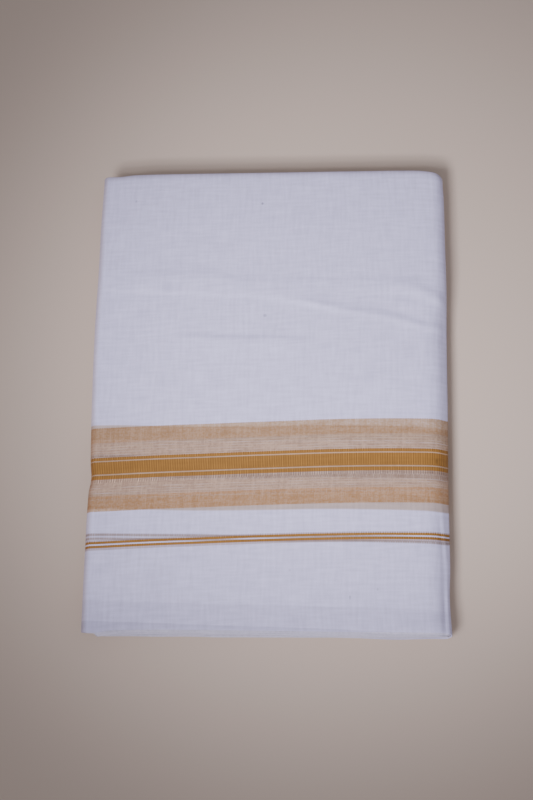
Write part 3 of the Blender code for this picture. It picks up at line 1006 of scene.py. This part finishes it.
# %% Group: plain weave
YARN_PITCH = 0.00035
HILLS = 0.5
RIB_PITCH = 0.00157
RIB_DRIFT = 3.0
RIB_FADE = (0.3, 0.7, 0.2, 1.0)
STREAKS_IN_HEATHER = 0.6
THREAD_NOISE = {
    "warp": (480.0, 60.0, 3.0), "weft": (55.0, 480.0, 3.0), "drift": (70.0, 12.0, 1.0),
    "short_warp": (1400.0, 500.0, 1.0), "short_weft": (400.0, 1400.0, 1.0),
}

weave, into, out = new_group(
    "plain_weave", ("Along", "Across"),
    {"Height": "Float", "Streaks": "Float", "Heather": "Float", "Ribs": "Float"})


def yarn_wave(tree, distance, pitch):
    return math_node(tree, "SINE", math_node(tree, "MULTIPLY", distance, math.pi / pitch))


def either_side(tree, first, second):
    """Two noise values added up, as a number either side of nought."""
    return math_node(tree, "SUBTRACT", math_node(tree, "ADD", first, second), 1.0)


along, across = into.outputs["Along"], into.outputs["Across"]
hills = math_node(weave, "MULTIPLY", yarn_wave(weave, along, YARN_PITCH),
                  yarn_wave(weave, across, YARN_PITCH))
noise = {name: stretched_noise(weave, along, across, *row) for name, row in THREAD_NOISE.items()}
streaks = either_side(weave, noise["warp"], noise["weft"])
dashes = either_side(weave, noise["short_warp"], noise["short_weft"])
heather = math_node(weave, "MULTIPLY_ADD", streaks, STREAKS_IN_HEATHER, dashes)
rib_turns = math_node(weave, "MULTIPLY_ADD", noise["drift"], RIB_DRIFT,
                      math_node(weave, "MULTIPLY", along, math.tau / RIB_PITCH))
rib = math_node(weave, "MULTIPLY", math_node(weave, "SINE", rib_turns),
                step_up(weave, noise["warp"], *RIB_FADE))
height = math_node(weave, "MULTIPLY_ADD", hills, HILLS, streaks)
set_inputs(weave, out, Height=height, Streaks=streaks, Heather=heather, Ribs=rib)
print("plain_weave group:", len(weave.nodes), "nodes")

# %% [markdown]
# ## Slubs and a knot
# The yarn has a thick dark place here and there, and the gold band has one knot. A handful are
# placed one by one, each a soft oval on the cloth's own coordinates, so that none repeats. A slub is
# darkest over its inner fifth and fades out from there.

# %% Group: slubs
SLUBS = (
    # place along the cloth, across from the gold line, half length and half width, darkness
    (0.3648, 0.2334, 0.0012, 0.0013, 0.5), (0.3614, 0.1511, 0.0018, 0.0017, 0.32),
    (0.303, -0.0404, 0.0009, 0.002, 0.32), (0.285, -0.0355, 0.001, 0.0014, 0.2),
    (0.3425, -0.0225, 0.0014, 0.001, 0.18), (0.4529, 0.2386, 0.001, 0.0015, 0.18),
    (0.246, 0.0482, 0.0013, 0.0026, 0.26), (0.121, 0.11, 0.0011, 0.0016, 0.3),
)
SLUB_CORE = 0.2

slub_marks, into, out = new_group("slubs", ("Along", "Across"), {"Mark": "Float"})
place = slub_marks.nodes.new("ShaderNodeCombineXYZ")
set_inputs(slub_marks, place, X=into.outputs["Along"], Y=into.outputs["Across"])
total = 0.0
for slub_along, slub_across, half_length, half_width, darkness in SLUBS:
    away = vector_node(slub_marks, "SUBTRACT", place.outputs["Vector"], (slub_along, slub_across, 0.0))
    oval = vector_node(slub_marks, "MULTIPLY", away, (1.0 / half_length, 1.0 / half_width, 0.0))
    distance = vector_node(slub_marks, "LENGTH", oval)
    mark = step_up(slub_marks, distance, SLUB_CORE, 1.0, darkness, 0.0)
    total = math_node(slub_marks, "ADD", total, mark)
set_inputs(slub_marks, out, Mark=total)
print("slubs placed by hand:", len(SLUBS))

# %% [markdown]
# ## The cotton itself
# One material is built three times, once each for the face, the second leaf and the hidden leaves.
# The leaves inside get a warmer tint than the face, which is painted warm light bounced from the table.
# Cotton is matte with a faint sheen of loose fibres; the gold thread is smoother. The uniform
# values sit on the shader's own sockets.

# %% Cotton material
COTTON_ROUGHNESS = 0.9
GOLD_ROUGHNESS = 0.6
STREAK_STRENGTH = 0.25
HEATHER = (-0.5, 0.5, 0.0, 0.6)
RIB_TONE = 0.39
EDGE_SHADE_TINT = (0.66, 0.6, 0.53)
# painted warm bounce light from the table, given to the inner leaves
INNER_BOUNCE_TINT = (1.03, 1.02, 0.9)
RIB_TEETH = 0.00016
WEAVE_DEPTH = 0.00004
WEAVE_STRENGTH = 0.5
SPECULAR = 0.25
SHEEN = 0.05
SHEEN_ROUGHNESS = 0.5


def uv_axes(tree, name):
    """The two coordinates of one of the cloth's UV maps."""
    source = tree.nodes.new("ShaderNodeUVMap")
    source.uv_map = name
    split = tree.nodes.new("ShaderNodeSeparateXYZ")
    tree.links.new(source.outputs["UV"], split.inputs["Vector"])
    return split.outputs["X"], split.outputs["Y"]


def group_node(tree, group, **inputs):
    node = tree.nodes.new("ShaderNodeGroup")
    node.node_tree = group
    set_inputs(tree, node, **inputs)
    return node.outputs


def cotton(name, tint):
    finish = bpy.data.materials.new(name)
    finish.use_nodes = True
    tree = finish.node_tree
    shader = tree.nodes["Principled BSDF"]
    along, across = uv_axes(tree, "cloth")
    lines_across, border_across = uv_axes(tree, "inner_ply")
    from_hem, from_fold = uv_axes(tree, "inner_edges")
    from_left, from_far = uv_axes(tree, "rims")
    threads = group_node(tree, weave, Along=along, Across=across)
    toothed = math_node(tree, "MULTIPLY_ADD", threads["Ribs"], RIB_TEETH, across)
    heather = step_up(tree, threads["Heather"], *HEATHER)
    stripes = group_node(tree, border, Along=along, Across=toothed, Heather=heather)
    below = group_node(tree, inner, Lines_Across=lines_across, Border_Across=border_across,
                       From_Hem=from_hem, From_Fold=from_fold, Ribs=threads["Ribs"])
    edge_shade = group_node(tree, edge_shade_group, From_Left=from_left, From_Far=from_far)["Edge"]
    mark = group_node(tree, slub_marks, Along=along, Across=across)["Mark"]
    seen = mixed(tree, "MULTIPLY", stripes["Shows Through"], stripes["Colour"], below["Tint"])
    # painted shade and warm bounce light over the last few millimetres at the left side and the far fold
    seen = mixed(tree, "MULTIPLY", edge_shade, seen, EDGE_SHADE_TINT)
    # the piece's tint: painted warm bounce light on the inner leaves, plain white on the face
    seen = mixed(tree, "MULTIPLY", 1.0, seen, tint)
    tone = math_node(tree, "MULTIPLY_ADD", threads["Streaks"], STREAK_STRENGTH, 1.0)
    ribbed = math_node(tree, "MULTIPLY", threads["Ribs"], stripes["Ribbed"])
    tone = math_node(tree, "MULTIPLY_ADD", ribbed, RIB_TONE, tone)
    tone = math_node(tree, "SUBTRACT", tone, mark)
    smoother = GOLD_ROUGHNESS - COTTON_ROUGHNESS
    rough = math_node(tree, "MULTIPLY_ADD", stripes["Gold"], smoother, COTTON_ROUGHNESS)
    bump = tree.nodes.new("ShaderNodeBump")
    set_inputs(tree, bump, Strength=WEAVE_STRENGTH, Distance=WEAVE_DEPTH, Height=threads["Height"])
    set_inputs(tree, shader, Base_Color=vector_node(tree, "MULTIPLY", seen, tone), Roughness=rough,
               Normal=bump.outputs["Normal"], Specular_IOR_Level=SPECULAR, Sheen_Weight=SHEEN,
               Sheen_Roughness=SHEEN_ROUGHNESS)
    return finish


for piece, name, tint in (
        (bordered_leaf, "bordered_cotton", (1.0, 1.0, 1.0)),
        (open_end_leaf, "open_end_cotton", INNER_BOUNCE_TINT),
        (hidden_leaves, "hidden_leaf_cotton", INNER_BOUNCE_TINT)):
    piece.data.materials.append(cotton(name, tint))
print("materials:", [m.name for m in bpy.data.materials if "cotton" in m.name])

# %% [markdown]
# ## Standing in for the solids
# Each piece stands for one solid of the fixed frame and rides on its body. That solid is hidden.

# %% Pieces on their bodies
for piece, node, slot, length in (
        (bordered_leaf, "top_leaf", "bordered_face", bordered_length),
        (open_end_leaf, "second_leaf", "plain_leaf", second_length),
        (hidden_leaves, "hidden_layers", "folded_edges", hidden_length)):
    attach(piece, "root")
    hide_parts(node)
